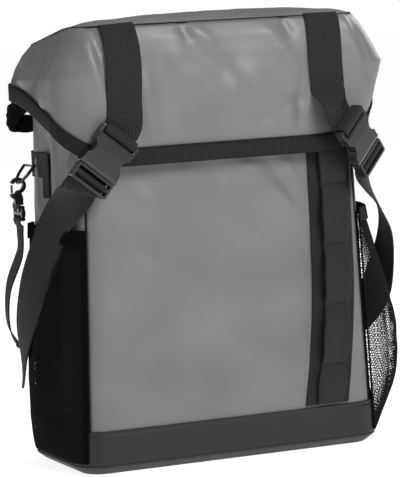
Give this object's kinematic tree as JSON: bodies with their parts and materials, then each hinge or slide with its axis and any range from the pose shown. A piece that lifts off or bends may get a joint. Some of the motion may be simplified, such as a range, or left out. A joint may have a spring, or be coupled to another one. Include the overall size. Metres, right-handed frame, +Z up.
{
  "type": "pannier bag",
  "caption": "Bicycle pannier bag with a hooded lid, side-release buckles, mesh side pockets, a webbing ladder and rack hooks with a release handle.",
  "frame": {"origin": "on the ground at the centre of the base", "axes": "+Z up, -Y towards the front panel with the buckles, +Y towards the rack, +X to the right seen from the front"},
  "size_m": [0.4241, 0.2411, 0.463],
  "materials": {
    "coated_fabric": "satin grey coated polyester",
    "webbing": "woven black webbing",
    "binding": "black grosgrain tape",
    "boot": "satin charcoal",
    "mesh": "open black net",
    "moulded_plastic": "satin black acetal",
    "board": "matte black sheet",
    "steel": "plated",
    "aluminium": "anodised satin",
    "blue_plastic": "satin blue",
    "cord": "braided black"
  },
  "bodies": {
    "bag": {"front_panel": "coated_fabric", "left_side_panel": "coated_fabric", "right_side_panel": "coated_fabric", "back_panel": "coated_fabric", "collar": "coated_fabric", "left_lower_strap": "webbing", "right_lower_strap": "webbing", "left_side_tab": "webbing", "right_side_tab": "webbing", "left_side_strap": "webbing", "right_side_strap": "webbing", "daisy_chain_backing": "webbing", "daisy_chain_loops": "webbing", "left_pocket_hem": "binding", "right_pocket_hem": "binding", "boot": "boot", "left_mesh_pocket": "mesh", "right_mesh_pocket": "mesh", "left_rack_hook": "moulded_plastic", "right_rack_hook": "moulded_plastic", "cord_lock_body": "moulded_plastic", "base_board": "board", "back_board": "board", "left_top_rail_screw": "steel", "right_top_rail_screw": "steel", "left_lower_rail_screw": "steel", "right_lower_rail_screw": "steel", "top_rail": "aluminium", "lower_rail": "aluminium", "left_anchor_rivet": "blue_plastic", "right_anchor_rivet": "blue_plastic", "drawcord": "cord"},
    "lid": {"lid_shell": "coated_fabric", "lid_binding": "binding", "left_upper_strap": "webbing", "right_upper_strap": "webbing", "left_buckle_socket": "moulded_plastic", "right_buckle_socket": "moulded_plastic"},
    "left_plug": {"left_buckle_plug": "moulded_plastic"},
    "right_plug": {"right_buckle_plug": "moulded_plastic"},
    "left_upper_prong": {"left_upper_prong": "moulded_plastic"},
    "left_lower_prong": {"left_lower_prong": "moulded_plastic"},
    "right_upper_prong": {"right_upper_prong": "moulded_plastic"},
    "right_lower_prong": {"right_lower_prong": "moulded_plastic"},
    "left_ring_set": {"left_d_ring": "steel", "left_snap_hook": "moulded_plastic", "left_slider": "moulded_plastic"},
    "right_ring_set": {"right_d_ring": "steel", "right_snap_hook": "moulded_plastic", "right_slider": "moulded_plastic"},
    "left_gate": {"left_hook_gate": "steel"},
    "right_gate": {"right_hook_gate": "steel"},
    "handle": {"release_handle": "webbing"},
    "left_latch": {"left_hook_latch": "moulded_plastic"},
    "right_latch": {"right_hook_latch": "moulded_plastic"},
    "hook_carriage": {"lower_hook_carriage": "moulded_plastic"},
    "rack_anchor": {"lower_hook": "moulded_plastic"},
    "cord_button": {"cord_lock_button": "moulded_plastic"}
  },
  "joints": [
    {"name": "lid_hinge", "type": "hinge", "parent": "bag", "child": "lid", "pos_m": [0, 0.08625, 0.383], "axis": [-1, 0, 0], "range_deg": [0, 110]},
    {"name": "left_buckle_release", "type": "slide", "parent": "bag", "child": "left_plug", "axis": [-0.6293, 0, -0.7771], "range_m": [0, 0.032]},
    {"name": "right_buckle_release", "type": "slide", "parent": "bag", "child": "right_plug", "axis": [0.5607, 0.2857, -0.7771], "range_m": [0, 0.032]},
    {"name": "left_lower_prong_press", "type": "hinge", "parent": "left_plug", "child": "left_lower_prong", "pos_m": [-0.14008, -0.1072, 0.3005], "axis": [0, -1, 0], "range_deg": [0, 6], "stiffness_Nm_per_rad": 0.01, "springref_deg": -5.73},
    {"name": "left_upper_prong_press", "type": "hinge", "parent": "left_plug", "child": "left_upper_prong", "pos_m": [-0.16387, -0.1072, 0.31975], "axis": [0, 1, 0], "range_deg": [0, 6], "stiffness_Nm_per_rad": 0.01, "springref_deg": -5.73},
    {"name": "right_upper_prong_press", "type": "hinge", "parent": "right_plug", "child": "right_upper_prong", "pos_m": [0.16099, -0.09843, 0.31975], "axis": [0.454, -0.891, 0], "range_deg": [0, 6], "stiffness_Nm_per_rad": 0.01, "springref_deg": -5.73},
    {"name": "right_lower_prong_press", "type": "hinge", "parent": "right_plug", "child": "right_lower_prong", "pos_m": [0.1398, -0.10923, 0.3005], "axis": [-0.454, 0.891, 0], "range_deg": [0, 6], "stiffness_Nm_per_rad": 0.01, "springref_deg": -5.73},
    {"name": "left_ring_swing", "type": "hinge", "parent": "bag", "child": "left_ring_set", "pos_m": [-0.1632, 0.0555, 0.3105], "axis": [0, 1, 0], "range_deg": [0, 30]},
    {"name": "right_ring_swing", "type": "hinge", "parent": "bag", "child": "right_ring_set", "pos_m": [0.1632, 0.0555, 0.3105], "axis": [0, -1, 0], "range_deg": [0, 30]},
    {"name": "left_gate_press", "type": "hinge", "parent": "left_ring_set", "child": "left_gate", "pos_m": [-0.18385, 0.0555, 0.2829], "axis": [0, 1, 0], "range_deg": [0, 30], "stiffness_Nm_per_rad": 0.0005, "springref_deg": -17.19},
    {"name": "right_gate_press", "type": "hinge", "parent": "right_ring_set", "child": "right_gate", "pos_m": [0.18385, 0.0555, 0.2829], "axis": [0, -1, 0], "range_deg": [0, 30], "stiffness_Nm_per_rad": 0.0005, "springref_deg": -17.19},
    {"name": "handle_pull", "type": "slide", "parent": "bag", "child": "handle", "axis": [0, 0, 1], "range_m": [0, 0.012], "stiffness_N_per_m": 15, "springref_m": -0.02},
    {"name": "left_latch_swing", "type": "hinge", "parent": "bag", "child": "left_latch", "pos_m": [-0.075, 0.0947, 0.3135], "axis": [-1, 0, 0], "range_deg": [0, 40]},
    {"name": "right_latch_swing", "type": "hinge", "parent": "bag", "child": "right_latch", "pos_m": [0.075, 0.0947, 0.3135], "axis": [-1, 0, 0], "range_deg": [0, 40]},
    {"name": "lower_hook_slide", "type": "slide", "parent": "bag", "child": "hook_carriage", "axis": [1, 0, 0], "range_m": [-0.04, 0.04]},
    {"name": "lower_hook_turn", "type": "hinge", "parent": "hook_carriage", "child": "rack_anchor", "pos_m": [0, 0.0879, 0.115], "axis": [0, 1, 0], "range_deg": [-90, 90]},
    {"name": "cord_lock_press", "type": "slide", "parent": "bag", "child": "cord_button", "axis": [0, 0, -1], "range_m": [0, 0.004], "stiffness_N_per_m": 30, "springref_m": -0.005}
  ],
  "couplings": [
    {"joint": "left_upper_prong_press", "follows": "left_lower_prong_press", "ratio": 1},
    {"joint": "right_lower_prong_press", "follows": "right_upper_prong_press", "ratio": 1},
    {"joint": "left_latch_swing", "follows": "handle_pull", "rad_per_m": 58},
    {"joint": "right_latch_swing", "follows": "handle_pull", "rad_per_m": 58}
  ]
}
